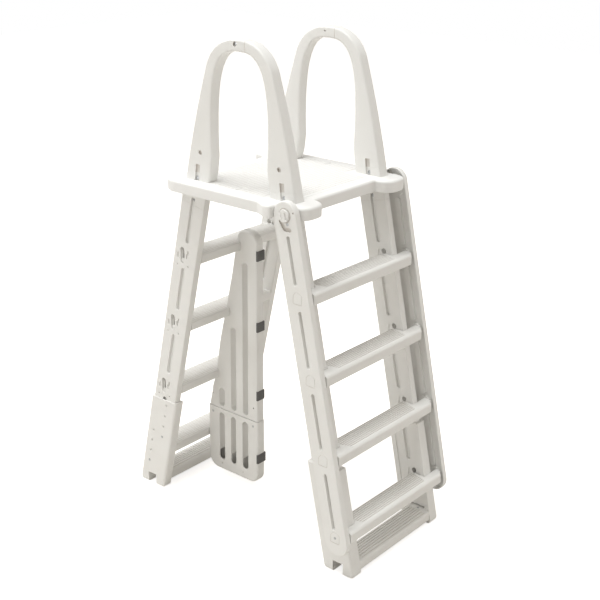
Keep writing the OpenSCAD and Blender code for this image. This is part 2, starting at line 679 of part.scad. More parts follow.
// Screws that hold a pair of sleeves at their height.
module sleeve_screws(front) color(steel) for (side = [-1, 1]) placed(side, front) {
    y0 = front ? front_leg_y : pool_leg_y;
    out = front ? front_sleeve_out : pool_sleeve_out;
    for (c = hole_columns) {
        across(rail_out + slide_gap, out - 1.5, leg_y(y0, c[1]) + c[0], c[1], 3.5);
        across(out - 1.5, out + 1, leg_y(y0, c[1]) + c[0], c[1], 5);
    }
}

// Tread-like crossbar between the two sleeves of one side.
bar_low = 12;
bar_h = 45;
bar_d = 94;
front_bar_shift = 19;
function bar_y(y0) = leg_y(y0, bar_low + bar_h / 2) - bar_d / 2 + (y0 == front_leg_y ? front_bar_shift : 0);
function bar_plan(y0) = let (y = bar_y(y0)) [
    [y, bar_low, 6], [y + bar_d, bar_low, 6], [y + bar_d, bar_low + bar_h - 4, 12],
    [y + bar_d - 26, bar_low + bar_h, 60], [y + 26, bar_low + bar_h, 60], [y, bar_low + bar_h - 4, 12]];
module crossbar(front) color(shell) placed(1, front) {
    half = rail_in - slide_gap - sleeve_lip;
    y0 = front ? front_leg_y : pool_leg_y;
    difference() {
        yz(-half, half) outline(bar_plan(y0));
        yz(-half + wall, half - wall) outline(inset(bar_plan(y0), wall));
        for (s = [-1, 1]) translate([s * bar_screw_x, bar_y(y0) + bar_d / 2, bar_low + bar_h - wall - 1])
            cylinder(r = 2.5 + screw_fit, h = wall + 2);
    }
}

// Screws that fasten each end of a crossbar from above.
bar_screw_x = rail_in - 14;
module crossbar_screws(front) color(steel) for (side = [-1, 1]) placed(side, front)
    translate([bar_screw_x, bar_y(front ? front_leg_y : pool_leg_y) + bar_d / 2, bar_low + bar_h]) {
        translate([0, 0, -wall]) cylinder(r = 2.5, h = wall + eps);
        cylinder(r = 4.5, h = 2);
    }

// --- Barrier ---------------------------------------------------------------
shell_t = 3;
barrier_lift = 80;
tongue_low = barrier_low + shell_t + barrier_lift + 5;
lower_far = pool_tread_y(4) - 1.5;
upper_far = lower_far - slide_gap - shell_t;
slot_y = [65.4, 129.9, 195.9];
slot_w = [27, 27, 29];
function upright(y, z0, z1, w) = [barrier_y + y, (z0 + z1) / 2, w, z1 - z0];
upper_slots = [for (k = [0 : 2]) upright(slot_y[k], barrier_seam + 11.5, level(k + 1) - 85.5, slot_w[k])];
lower_slots = [for (q = [[63.9, 31], [129.4, 28], [192.9, 29]])
    upright(q[0], barrier_low + 49, barrier_seam - 18, q[1])];

// Upper panel: free edge straight, ladder edge following the leg at a set
// distance, a hook over the highest tread, and a tongue below that the lower
// panel covers.
function by_leg(z, off, r) = [leg_y(pool_leg_y, z) - off, z, r];
function upper_plan() = [
    [barrier_y, tongue_low, 42], [upper_far, tongue_low, 50], [upper_far, barrier_seam + 12, 8],
    by_leg(level(3) - 128, 34.6, 20), by_leg(level(3) - 80, 33.2, 30), by_leg(level(3) - 28, 40, 20),
    by_leg(level(3) + 123, 31.3, 200), by_leg(level(2) - 49, 33.1, 60), by_leg(level(2) + 36, 34.8, 60),
    by_leg(level(1) - 143, 36, 100), by_leg(level(1) - 58, 33.2, 30), by_leg(level(1) - 18, 39, 12),
    by_leg(level(1) + 24, 32, 14), by_leg(level(1) + 45, 47.4, 30), [barrier_y, level(1) + 45, 50]];

module barrier_upper() color(shell) placed() difference() {
    yz(-barrier_half, barrier_half) difference() {
        outline(upper_plan());
        for (s = upper_slots) slot(s[0], s[1], s[2], s[3]);
        for (s = lower_slots) slot(s[0], s[1], s[2] + 1, s[3] + 1);
        for (k = [1 : 3]) outline(pool_tread_plan(k));
    }
    yz(-barrier_half + wall, barrier_half - wall) difference() {
        outline(inset(upper_plan(), wall));
        for (s = upper_slots) slot(s[0], s[1], s[2] + 2 * wall, s[3] + 2 * wall);
        for (s = lower_slots) slot(s[0], s[1], s[2] + 2 * wall, s[3] + 2 * wall);
        for (k = [1 : 3]) outline(inset(pool_tread_plan(k), -wall));
        for (p = barrier_screw_at) translate([p[0], p[1] + barrier_lift]) circle(r = 3.5 + wall);
    }
    for (p = barrier_screw_at) across(-barrier_half - 1, barrier_half + 1, p[0], p[1] + barrier_lift, 3.5);
}

function lower_outline() = [
    [barrier_y - slide_gap - shell_t, barrier_low, 42], [lower_far, barrier_low, 50],
    [lower_far, barrier_seam, 0], [barrier_y - slide_gap - shell_t, barrier_seam, 0]];
lower_half = barrier_half + slide_gap + shell_t;
barrier_screw_at = [[lower_far - 26, barrier_seam - 23], [barrier_y + 20.9, barrier_seam - 23]];

// Lower panel: a slotted shell that slides over the upper panel's tongue.
module barrier_lower() color(shell) placed() difference() {
    yz(-lower_half, lower_half) outline(lower_outline());
    yz(-barrier_half - slide_gap, barrier_half + slide_gap) {
        outline(inset(lower_outline(), shell_t));
        translate([barrier_y - slide_gap, barrier_seam - 60])
            square([lower_far - shell_t - barrier_y + slide_gap, 70]);
    }
    yz(-lower_half - 1, lower_half + 1) for (s = lower_slots) slot(s[0], s[1], s[2], s[3]);
    for (p = barrier_screw_at) across(-lower_half - 1, -barrier_half, p[0], p[1], 3 + screw_fit);
    for (y = [lower_far - 75, barrier_y + 77.4]) across(-lower_half - 1, -barrier_half, y, barrier_low + 28.5, 3);
}

module barrier_screws() color(steel) for (p = barrier_screw_at) placed() {
    across(-lower_half, -barrier_half - slide_gap, p[0], p[1], 3);
    across(-lower_half - 2, -lower_half, p[0], p[1], 5);
}

// Rubber pads that bear on the pool's wall.
pad_h = 40;
pad_t = 3;
pad_heights = [level(1) - 45, level(2) - 52, level(3) - 61];
module pad(y, z, half) translate([-half - 1.5, y - pad_t, z - pad_h / 2]) difference() {
    cube([2 * half + 3, pad_t + 5, pad_h]);
    translate([1.5, pad_t, -1]) cube([2 * half, 10, pad_h + 2]);
}
module barrier_pads() color(rubber) for (z = pad_heights) placed() pad(barrier_y, z, barrier_half);
module barrier_lower_pad() color(rubber) placed() pad(barrier_y - slide_gap - shell_t, barrier_seam - 165, lower_half);

deck();
handrail_half(-1, true);  // handrail_front_left
handrail_half(1, true);  // handrail_front_right
handrail_half(-1, false);  // handrail_pool_left
handrail_half(1, false);  // handrail_pool_right
handrail_foot(-1, true);  // handrail_foot_front_left
handrail_foot(1, true);  // handrail_foot_front_right
handrail_foot(-1, false);  // handrail_foot_pool_left
handrail_foot(1, false);  // handrail_foot_pool_right
handrail_joint_screws();
handrail_foot_bolts();
leg_rail(-1, true);  // leg_rail_front_left
leg_rail(1, true);  // leg_rail_front_right
leg_rail(-1, false);  // leg_rail_pool_left
leg_rail(1, false);  // leg_rail_pool_right
leg_rail_bolts();
leg_collar(-1, true);  // leg_collar_front_left
leg_collar(1, true);  // leg_collar_front_right
leg_collar(-1, false);  // leg_collar_pool_left
leg_collar(1, false);  // leg_collar_pool_right
pool_tread(1);  // pool_tread_1
pool_tread(2);  // pool_tread_2
pool_tread(3);  // pool_tread_3
pool_tread(4);  // pool_tread_4
swing_rail(-1);  // swing_rail_left
swing_rail(1);  // swing_rail_right
swing_tread(1);  // swing_tread_1
swing_tread(2);  // swing_tread_2
swing_tread(3);  // swing_tread_3
swing_tread(4);  // swing_tread_4
swing_tread_plugs();
swing_tread_screws();
swing_lock_screws();
pivot_knob(-1);  // pivot_knob_left
pivot_knob(1);  // pivot_knob_right
latch_pins();
sleeve(-1, true);  // front_sleeve_left
sleeve(1, true);  // front_sleeve_right
crossbar(true);  // front_crossbar
sleeve_screws(true);  // front_sleeve_screws
crossbar_screws(true);  // front_crossbar_screws
sleeve(-1, false);  // pool_sleeve_left
sleeve(1, false);  // pool_sleeve_right
crossbar(false);  // pool_crossbar
sleeve_screws(false);  // pool_sleeve_screws
crossbar_screws(false);  // pool_crossbar_screws
barrier_upper();
barrier_lower();
barrier_screws();
barrier_pads();
barrier_lower_pad();
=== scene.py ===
"""Free-standing ladder for an above-ground pool: a moulded deck on four legs, arched
handrails, a swing-up ladder outside, and treads with a barrier inside."""
import json
import math

import bmesh
import bpy
from mathutils import Matrix, Vector
from mathutils.bvhtree import BVHTree


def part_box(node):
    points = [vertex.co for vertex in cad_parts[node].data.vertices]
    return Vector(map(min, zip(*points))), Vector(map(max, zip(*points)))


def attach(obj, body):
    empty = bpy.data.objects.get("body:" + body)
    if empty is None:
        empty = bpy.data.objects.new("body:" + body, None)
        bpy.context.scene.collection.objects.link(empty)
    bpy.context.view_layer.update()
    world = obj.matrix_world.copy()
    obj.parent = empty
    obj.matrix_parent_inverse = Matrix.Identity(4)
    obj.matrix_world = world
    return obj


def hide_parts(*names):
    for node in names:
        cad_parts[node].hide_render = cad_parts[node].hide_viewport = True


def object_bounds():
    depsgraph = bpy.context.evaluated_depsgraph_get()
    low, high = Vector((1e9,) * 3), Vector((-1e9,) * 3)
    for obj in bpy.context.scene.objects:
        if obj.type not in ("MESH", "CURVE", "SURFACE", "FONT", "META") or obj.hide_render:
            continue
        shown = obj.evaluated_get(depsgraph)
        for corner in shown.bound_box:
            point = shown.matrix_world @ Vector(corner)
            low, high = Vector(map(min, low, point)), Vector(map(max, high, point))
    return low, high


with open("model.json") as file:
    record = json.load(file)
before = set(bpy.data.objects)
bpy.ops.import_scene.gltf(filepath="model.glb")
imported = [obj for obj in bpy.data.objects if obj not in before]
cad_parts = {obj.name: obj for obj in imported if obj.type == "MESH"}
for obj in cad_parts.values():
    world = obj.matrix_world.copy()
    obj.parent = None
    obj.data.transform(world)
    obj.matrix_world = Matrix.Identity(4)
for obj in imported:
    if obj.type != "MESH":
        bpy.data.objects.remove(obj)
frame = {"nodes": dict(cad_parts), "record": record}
cad_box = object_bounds()

# --- Camera and light ---------------------------------------------------------------
# A camera at chest height outside the left front leg, a pale studio floor with a white
# background, and broad soft lights: overhead, over the pool, from the left and in front.
camera = bpy.data.objects.new("camera", bpy.data.cameras.new("camera"))
bpy.context.collection.objects.link(camera)
bpy.context.scene.camera = camera
camera.data.sensor_width = 36
camera.data.lens = 68.24
camera.data.clip_end = 50
turn, rise, roll = math.radians(-50.39), math.radians(20.70), math.radians(0.71)
camera.location = (-3.0584, -2.6000, 2.3727)
back = Vector((math.sin(turn) * math.cos(rise), -math.cos(turn) * math.cos(rise), math.sin(rise)))
right = Vector((math.cos(turn), math.sin(turn), 0))
up = back.cross(right)
across = right * math.cos(roll) + up * math.sin(roll)
above = up * math.cos(roll) - right * math.sin(roll)
camera.rotation_euler = Matrix((across, above, back)).transposed().to_euler()
bpy.context.scene.view_settings.view_transform = "Standard"

world = bpy.data.worlds.new("studio")
bpy.context.scene.world = world
world.use_nodes = True
nodes, links = world.node_tree.nodes, world.node_tree.links
nodes.clear()
room, white = nodes.new("ShaderNodeBackground"), nodes.new("ShaderNodeBackground")
room.inputs["Color"].default_value = (1.0, 0.965, 0.91, 1)
room.inputs["Strength"].default_value = 0.50
white.inputs["Color"].default_value = (1, 1, 1, 1)
white.inputs["Strength"].default_value = 1.0
path, either = nodes.new("ShaderNodeLightPath"), nodes.new("ShaderNodeMath")
either.operation = "MAXIMUM"
links.new(path.outputs["Is Camera Ray"], either.inputs[0])
links.new(path.outputs["Is Transmission Ray"], either.inputs[1])
mix, out = nodes.new("ShaderNodeMixShader"), nodes.new("ShaderNodeOutputWorld")
links.new(either.outputs[0], mix.inputs["Fac"])
links.new(room.outputs[0], mix.inputs[1])
links.new(white.outputs[0], mix.inputs[2])
links.new(mix.outputs[0], out.inputs["Surface"])

lit_point = Vector((0, 0, 0.9))
for name, place, size, power, tint in (
        ("overhead_light", (-1.3, 0.2, 8.2), 3.0, 350, (0.97, 0.99, 1.0)),
        ("pool_light", (-0.8, 5.0, 4.8), 3.0, 150, (0.985, 0.99, 1.0)),
        ("left_light", (-6.5, 1.0, 2.2), 3.0, 68, (0.985, 1.0, 0.985)),
        ("front_light", (2.8, -3.6, 1.5), 2.0, 22, (1.0, 0.965, 0.92))):
    lamp = bpy.data.lights.new(name, "AREA")
    lamp.shape, lamp.size, lamp.energy, lamp.color = "DISK", size, power, tint
    holder = bpy.data.objects.new(name, lamp)
    holder.location = place
    holder.rotation_euler = (lit_point - Vector(place)).to_track_quat("-Z", "Y").to_euler()
    bpy.context.collection.objects.link(holder)

floor_reach, floor_glow = 12, 0.71
ground = Matrix.Translation((0, 0, cad_box[0].z))
bm = bmesh.new()
bmesh.ops.create_grid(bm, x_segments=1, y_segments=1, size=floor_reach, matrix=ground)
floor_mesh = bpy.data.meshes.new("floor")
bm.to_mesh(floor_mesh)
bm.free()
floor = bpy.data.objects.new("floor", floor_mesh)
bpy.context.collection.objects.link(floor)
paper = bpy.data.materials.new("studio_paper")
paper.use_nodes = True
nodes, links = paper.node_tree.nodes, paper.node_tree.links
nodes.clear()
matt, lift = nodes.new("ShaderNodeBsdfDiffuse"), nodes.new("ShaderNodeEmission")
matt.inputs["Color"].default_value = (0.72, 0.69, 0.65, 1)
path, faint = nodes.new("ShaderNodeLightPath"), nodes.new("ShaderNodeMath")
faint.operation = "MULTIPLY"
faint.inputs[1].default_value = floor_glow
links.new(path.outputs["Is Camera Ray"], faint.inputs[0])
links.new(faint.outputs[0], lift.inputs["Strength"])
both, out = nodes.new("ShaderNodeAddShader"), nodes.new("ShaderNodeOutputMaterial")
links.new(matt.outputs[0], both.inputs[0])
links.new(lift.outputs[0], both.inputs[1])
links.new(both.outputs[0], out.inputs["Surface"])
floor_mesh.materials.append(paper)

# --- Deck ---------------------------------------------------------------------------
# One hollow tray of off-white resin with a well-rounded rim, ribbed underneath. The
# field where people stand is a raised grid of small pillowy pads, so that wet feet grip.
grain = bpy.data.node_groups.new("moulded_grain", "ShaderNodeTree")
for name, kind in (("Place", "NodeSocketVector"), ("Grain Size", "NodeSocketFloat"),
                   ("Cloud Size", "NodeSocketFloat")):
    grain.interface.new_socket(name, in_out="INPUT", socket_type=kind)
for name in ("Cloud", "Sheen", "Height"):
    grain.interface.new_socket(name, in_out="OUTPUT", socket_type="NodeSocketFloat")
gn, gl = grain.nodes, grain.links
start, end = gn.new("NodeGroupInput"), gn.new("NodeGroupOutput")
fine, cloud, flow = (gn.new("ShaderNodeTexNoise") for _ in range(3))
fine.inputs["Detail"].default_value = 3
cloud.inputs["Detail"].default_value = 4
flow.inputs["Detail"].default_value = 2
flow.inputs["Distortion"].default_value = 0.8
gl.new(start.outputs["Grain Size"], fine.inputs["Scale"])
gl.new(start.outputs["Cloud Size"], cloud.inputs["Scale"])
gl.new(start.outputs["Cloud Size"], flow.inputs["Scale"])
stretch = gn.new("ShaderNodeMapping")
stretch.inputs["Scale"].default_value = (3.0, 3.0, 0.5)
gl.new(start.outputs["Place"], stretch.inputs["Vector"])
gl.new(start.outputs["Place"], fine.inputs["Vector"])
gl.new(start.outputs["Place"], cloud.inputs["Vector"])
gl.new(stretch.outputs["Vector"], flow.inputs["Vector"])
soften = gn.new("ShaderNodeMapRange")
soften.inputs["From Min"].default_value = 0.32
soften.inputs["From Max"].default_value = 0.68
gl.new(cloud.outputs["Fac"], soften.inputs["Value"])
gl.new(soften.outputs["Result"], end.inputs["Cloud"])
gl.new(flow.outputs["Fac"], end.inputs["Sheen"])
gl.new(fine.outputs["Fac"], end.inputs["Height"])


def moulded(name, pale, deep, rough_low, rough_high,
            grain_size=900, depth=0.12, cloud_size=5.5, metallic=0.0):
    material = bpy.data.materials.new(name)
    material.use_nodes = True
    n, l = material.node_tree.nodes, material.node_tree.links
    shader = n["Principled BSDF"]
    shader.inputs["IOR"].default_value = 1.46
    shader.inputs["Metallic"].default_value = metallic
    place = n.new("ShaderNodeTexCoord")
    group = n.new("ShaderNodeGroup")
    group.node_tree = grain
    group.inputs["Grain Size"].default_value = grain_size
    group.inputs["Cloud Size"].default_value = cloud_size
    l.new(place.outputs["Object"], group.inputs["Place"])
    colour = n.new("ShaderNodeMix")
    colour.data_type = "RGBA"
    colour.inputs["A"].default_value = (*pale, 1)
    colour.inputs["B"].default_value = (*deep, 1)
    l.new(group.outputs["Cloud"], colour.inputs["Factor"])
    l.new(colour.outputs["Result"], shader.inputs["Base Color"])
    rough = n.new("ShaderNodeMapRange")
    rough.inputs["To Min"].default_value = rough_low
    rough.inputs["To Max"].default_value = rough_high
    l.new(group.outputs["Sheen"], rough.inputs["Value"])
    l.new(rough.outputs["Result"], shader.inputs["Roughness"])
    bump = n.new("ShaderNodeBump")
    bump.inputs["Strength"].default_value = depth
    bump.inputs["Distance"].default_value = 0.0004
    l.new(group.outputs["Height"], bump.inputs["Height"])
    l.new(bump.outputs["Normal"], shader.inputs["Normal"])
    return material


# The solid's own surface, with its flat faces whole, ready for its edges to be rounded.
def moulding_of(node):
    weld, flat_within = 6e-5, math.radians(0.6)
    bm = bmesh.new()
    bm.from_mesh(frame["nodes"][node].data)
    bmesh.ops.remove_doubles(bm, verts=bm.verts, dist=weld)
    bmesh.ops.dissolve_limit(bm, angle_limit=flat_within, verts=bm.verts, edges=bm.edges)
    return bm


def middle(e):
    return (e.verts[0].co + e.verts[1].co) / 2


# Faces across an axis, and points level with a plane, are told apart by these.
squarely, level = 0.9, 1e-4


def rim_of(e, axis):
    facing = [abs(f.normal[axis]) > squarely for f in e.link_faces]
    return len(facing) == 2 and facing[0] != facing[1]


def lies_at(e, axis, place):
    return all(abs(v.co[axis] - place) < level for v in e.verts)


def side_wall(e, axis):
    return min(e.link_faces, key=lambda f: abs(f.normal[axis]))


def round_off(bm, radius, steps, wanted):
    sharp = math.radians(35)
    chosen = [e for e in bm.edges if len(e.link_faces) == 2
              and e.calc_face_angle_signed(0) > sharp and wanted(e)]
    made = bmesh.ops.bevel(bm, geom=chosen, offset=radius, offset_type="OFFSET", segments=steps,
                           profile=0.5, affect="EDGES", clamp_overlap=False, material=-1)
    return made["faces"]


def drop_slivers(bm):
    bmesh.ops.dissolve_degenerate(bm, dist=1e-5, edges=bm.edges)
    loose = [e for e in bm.edges if not e.link_faces]
    bmesh.ops.delete(bm, geom=loose, context="EDGES")


# Each corner's normal leans on its larger neighbours, which keeps wide faces flat.
def even_normals(mesh, crease):
    around = [[] for _ in mesh.vertices]
    for p in mesh.polygons:
        for v in p.vertices:
            around[v].append((p.normal.copy(), p.area))
    least, own_share = math.cos(math.radians(crease)), 1e-9
    corners = []
    for p in mesh.polygons:
        for v in p.vertices:
            near = (n * area for n, area in around[v] if n.dot(p.normal) > least)
            corners.append(sum(near, p.normal * own_share).normalized())
    mesh.normals_split_custom_set(corners)


def show(bm, name, body, material, *stands_for, slot="shell", crease=46, more=()):
    bmesh.ops.triangulate(bm, faces=[f for f in bm.faces if len(f.verts) > 4])
    mesh = bpy.data.meshes.new(name)
    bm.to_mesh(mesh)
    bm.free()
    mesh.shade_smooth()
    even_normals(mesh, crease)
    for look in (material, *more):
        mesh.materials.append(look)
    piece = bpy.data.objects.new(name, mesh)
    bpy.context.collection.objects.link(piece)
    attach(piece, body)
    if stands_for:
        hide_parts(*stands_for)
    return piece


deck_resin = moulded("deck_resin", (0.845, 0.84, 0.825), (0.825, 0.82, 0.80), 0.4, 0.55)
# A darker copy of the off-white resin, used as painted shade in recesses, grooves, gaps and seams.
recess_shade_resin = moulded("recess_shade_resin", (0.70, 0.67, 0.63), (0.65, 0.62, 0.58), 0.5, 0.65)
deck_low, deck_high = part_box("deck")
field_rise, rim_round, foot_round, ear_round = 0.001, 0.0095, 0.0035, 0.005
plate_top = deck_high.z - field_rise
bm = moulding_of("deck")
for side in (-1, 1):
    outside = [v.co.y for v in bm.verts
               if side * v.co.x > deck_high.x - ear_round - level and v.co.y < 0]
    corner = Vector((side * deck_high.x, min(outside), 0))
    hub = corner + Vector((-side * ear_round, ear_round, 0))
    for height in (plate_top, deck_low.z):
        arc = [v for v in bm.verts if abs(v.co.z - height) < level
               and abs((v.co - Vector((hub.x, hub.y, v.co.z))).length - ear_round) < 2 * level]
        bmesh.ops.pointmerge(bm, verts=arc, merge_co=(corner.x, corner.y, height))
drop_slivers(bm)


def wall_top(e):
    return max(v.co.z for v in side_wall(e, 2).verts)


def ear_corner(e):
    least_long, least_tall = 0.04, 0.02
    return (abs(middle(e).x) > deck_high.x - level and middle(e).y < 0 and e.calc_length() > least_long
            and max(abs(v.co.z - middle(e).z) for v in e.verts) > least_tall)


round_off(bm, rim_round, 5, lambda e: lies_at(e, 2, plate_top) and rim_of(e, 2) or ear_corner(e))
round_off(bm, foot_round, 3, lambda e: lies_at(e, 2, deck_low.z) and rim_of(e, 2)
          and abs(wall_top(e) - plate_top + rim_round) < 10 * level)
round_off(bm, field_rise * 0.7, 2, lambda e: lies_at(e, 2, deck_high.z))


def corners_in(geometry):
    return [g for g in geometry if isinstance(g, bmesh.types.BMVert)]


# Each face becomes the top of a block of its own, closed underneath by its twin.
def blocks(bm, faces):
    twins = [g for g in bmesh.ops.duplicate(bm, geom=faces)["geom"]
             if isinstance(g, bmesh.types.BMFace)]
    bmesh.ops.reverse_faces(bm, faces=twins)
    return bmesh.ops.extrude_discrete_faces(bm, faces=faces)["faces"]


def gripping_pads(name, body, material, onto, low, high, step, gap, rise,
                  clear=0.0, flat=None, free=()):
    tree = BVHTree.FromBMesh(onto)
    over_all, straight_down = 3, Vector((0, 0, -1))

    def surface(x, y):
        hit = tree.ray_cast(Vector((x, y, over_all)), straight_down)[0]
        return (hit or Vector()).z

    def stands(f):
        centre = f.calc_center_median()
        if any(math.hypot((centre.x - x) / rx, (centre.y - y) / ry) < 1 for x, y, rx, ry in free):
            return False
        corners = [v.co + (v.co - centre).normalized() * clear for v in f.verts]
        return flat is None or all(surface(c.x, c.y) > flat - level for c in corners)

    span, centre = high - low, (high + low) / 2
    bm = bmesh.new()
    bmesh.ops.create_grid(bm, x_segments=max(1, round(span.x / step[0])),
                          y_segments=max(1, round(span.y / step[1])), size=0.5)
    bmesh.ops.scale(bm, vec=(span.x, span.y, 1), verts=bm.verts)
    bmesh.ops.translate(bm, vec=(centre.x, centre.y, 0), verts=bm.verts)
    bmesh.ops.delete(bm, geom=[f for f in bm.faces if not stands(f)], context="FACES")

    sunk, film = 0.0004, 0.00025
    # The bed under the pads is drawn in the darker resin: painted shade in the gaps between the pads.
    bed = bm.copy()
    lid = bmesh.ops.extrude_face_region(bed, geom=bed.faces[:], use_keep_orig=True)["geom"]
    bmesh.ops.translate(bed, vec=(0, 0, sunk + film), verts=corners_in(lid))
    bmesh.ops.recalc_face_normals(bed, faces=bed.faces)
    for v in bed.verts:
        v.co.z += surface(v.co.x, v.co.y) - sunk
    show(bed, name + "_painted_shade_gaps", body, recess_shade_resin, crease=60)

    upright, shoulder = 0.6, min(0.0016, 0.3 * min(step))
    bmesh.ops.split_edges(bm, edges=bm.edges)
    for f in bm.faces:
        centre = f.calc_center_median()
        for v in f.verts:
            v.co -= Vector((math.copysign(gap[0] / 2, v.co.x - centre.x),
                            math.copysign(gap[1] / 2, v.co.y - centre.y), 0))
    tops = blocks(bm, list(bm.faces))
    bmesh.ops.translate(bm, vec=(0, 0, sunk + rise * upright), verts=[v for f in tops for v in f.verts])
    bmesh.ops.inset_individual(bm, faces=tops, thickness=shoulder, depth=rise * (1 - upright))
    bmesh.ops.remove_doubles(bm, verts=bm.verts, dist=1e-6)
    for v in bm.verts:
        v.co.z += surface(v.co.x, v.co.y) - sunk
    return show(bm, name, body, material, crease=60)


field = [v.co for v in bm.verts if v.co.z > deck_high.z - level / 10]
field_low = Vector((min(p.x for p in field), min(p.y for p in field), 0))
field_high = Vector((max(p.x for p in field), max(p.y for p in field), 0))
pad_step, pad_gap, pad_rise, pad_clear = (0.0172, 0.0163), (0.0012, 0.0028), 0.0011, 0.002
well, well_half, well_free = Vector((0.247, 0.0065, 0)), (0.0185, 0.0055), (0.024, 0.010)
gripping_pads("deck_grip", "frame", deck_resin, bm, field_low, field_high, pad_step, pad_gap, pad_rise,
              clear=pad_clear, flat=deck_high.z,
              free=[(side * well.x, well.y, *well_free) for side in (-1, 1)])
show(bm, "deck_tray", "frame", deck_resin, "deck")

# Two oval wells that locate the deck in its mould lie in the field, one at each side.
well_sunk, well_tall = 0.0004, 0.0018
brim_wide, brim_rise, wall_wide, well_deep = 0.0016, 0.0003, 0.0008, 0.0015
for side, word in ((-1, "left"), (1, "right")):
    bm = bmesh.new()
    bmesh.ops.create_circle(bm, cap_ends=True, segments=32, radius=1)
    bmesh.ops.scale(bm, vec=(*well_half, 1), verts=bm.verts)
    bmesh.ops.translate(bm, vec=(side * well.x, well.y, deck_high.z - well_sunk), verts=bm.verts)
    lid = blocks(bm, list(bm.faces))
    bmesh.ops.translate(bm, vec=(0, 0, well_tall), verts=lid[0].verts)
    bmesh.ops.inset_individual(bm, faces=lid, thickness=brim_wide, depth=brim_rise)
    bmesh.ops.inset_individual(bm, faces=lid, thickness=wall_wide, depth=-well_deep)
    bmesh.ops.remove_doubles(bm, verts=bm.verts, dist=1e-6)
    show(bm, "deck_well_" + word, "frame", deck_resin, crease=60)

# --- Leg collars and leg rails ------------------------------------------------------
# Each leg is a hollow rail bolted through a collar under the deck. The faces are pinched
# by four long grooves, with keyholes between them in which the treads' pegs lock.
shell_resin = moulded("shell_resin", (0.815, 0.811, 0.79), (0.796, 0.788, 0.762), 0.36, 0.5)
behaviour = frame["record"]["behaviour"]
joints = {j["name"]: j for j in behaviour["joints"]}
leg_line = Vector(joints["pool_foot_extend"]["axis"])
slope = abs(leg_line.y) / abs(leg_line.z)
lean = math.atan(slope)


# The separate solids of a node, each as the two far corners of its box.
def lumps(node):
    bm = bmesh.new()
    bm.from_mesh(frame["nodes"][node].data)
    bmesh.ops.remove_doubles(bm, verts=bm.verts, dist=2e-5)
    left, boxes = set(bm.verts), []
    while left:
        group, edge = set(), [left.pop()]
        while edge:
            v = edge.pop()
            group.add(v)
            near = [e.other_vert(v) for e in v.link_edges if e.other_vert(v) in left]
            left.difference_update(near)
            edge.extend(near)
        low = Vector([min(v.co[k] for v in group) for k in range(3)])
        high = Vector([max(v.co[k] for v in group) for k in range(3)])
        boxes.append((low, high))
    bm.free()
    return boxes


leg_bolt = {}
for low, high in lumps("leg_rail_bolts"):
    end, side = "front" if low.y < 0 else "pool", "left" if low.x < 0 else "right"
    leg_bolt[end, side] = (low + high) / 2


def off_leg(p, end, side):
    bolt, out = leg_bolt[end, side], 1 if end == "pool" else -1
    return abs(out * (p.y - bolt.y) * math.cos(lean) + (p.z - bolt.z) * math.sin(lean))


def down_leg(p, end, side):
    bolt, out = leg_bolt[end, side], 1 if end == "pool" else -1
    return out * (p.y - bolt.y) * math.sin(lean) - (p.z - bolt.z) * math.cos(lean)


# The floors of recesses and the lines of seams take the darker resin: painted shade, standing in for the
# shade that falls in them.
def paint_recess_shade(faces):
    for f in faces:
        f.material_index = 1


rim_off, wall_off, groove_off, seam_slack = 0.05, 0.045, 0.0095, 3e-4
outline_round, groove_round, keyhole_round, seam_round = 0.004, 0.0016, 0.0011, 0.0007
for end in ("front", "pool"):
    for side in ("left", "right"):
        for kind, shown in (("leg_collar", "leg_socket"), ("leg_rail", "leg_moulding")):
            node = f"{kind}_{end}_{side}"
            bm = moulding_of(node)
            off = lambda e: off_leg(middle(e), end, side)
            round_off(bm, outline_round, 4, lambda e: rim_of(e, 0) and off(e) > rim_off
                      and e.calc_length() > 0.02)
            downs = [down_leg(v.co, end, side) for v in bm.verts if off_leg(v.co, end, side) > wall_off]
            joint = max(downs) if kind == "leg_collar" else min(downs)
            seam = lambda e: all(abs(down_leg(v.co, end, side) - joint) < seam_slack for v in e.verts)
            # The seam's small bevel takes the darker resin: a painted shade line along the seam.
            paint_recess_shade(round_off(bm, seam_round, 2, lambda e: seam(e) and (off(e) > rim_off or rim_of(e, 0))))
            round_off(bm, groove_round, 3, lambda e: rim_of(e, 0) and off(e) < groove_off)
            round_off(bm, keyhole_round, 2, lambda e: rim_of(e, 0) and groove_off < off(e) < wall_off
                      and not seam(e))
            show(bm, f"{shown}_{end}_{side}", "frame", shell_resin, node, more=[recess_shade_resin])

# The bolts are zinc-plated, with low domed heads and a cross recess.
zinc = moulded("zinc_plate", (0.62, 0.63, 0.64), (0.50, 0.51, 0.52), 0.24, 0.42,
               grain_size=1600, depth=0.1, cloud_size=60, metallic=1.0)
grid, dome, arm_half, arm_reach, recess_deep = 7, 0.45, 0.1, 0.2, 0.6
lines = (-1, -0.78, -0.5, -0.15, 0.15, 0.5, 0.78, 1)
head = bmesh.new()
bmesh.ops.create_grid(head, x_segments=grid, y_segments=grid, size=1)
for v in head.verts:
    x, y = (lines[round((c + 1) * grid / 2)] for c in v.co.xy)
    v.co.xy = x * math.sqrt(1 - y * y / 2), y * math.sqrt(1 - x * x / 2)
    v.co.z = 1 - dome * v.co.xy.length_squared
cross = []
for f in head.faces:
    c = f.calc_center_median()
    if min(abs(c.x), abs(c.y)) < arm_half and c.length_squared < arm_reach + c.z ** 2:
        cross.append(f)
arms = bmesh.ops.extrude_face_region(head, geom=cross)["geom"]
bmesh.ops.delete(head, geom=cross, context="FACES")
bmesh.ops.translate(head, vec=(0, 0, -recess_deep), verts=corners_in(arms))
for drop in (0.25, 0.3):
    brim = [e for e in head.edges if e.is_boundary]
    skirt = bmesh.ops.extrude_edge_only(head, edges=brim)["geom"]
    bmesh.ops.translate(head, vec=(0, 0, -drop), verts=corners_in(skirt))
shank_inset, shank_drop = 0.42, 0.6
brim = [e for e in head.edges if e.is_boundary]
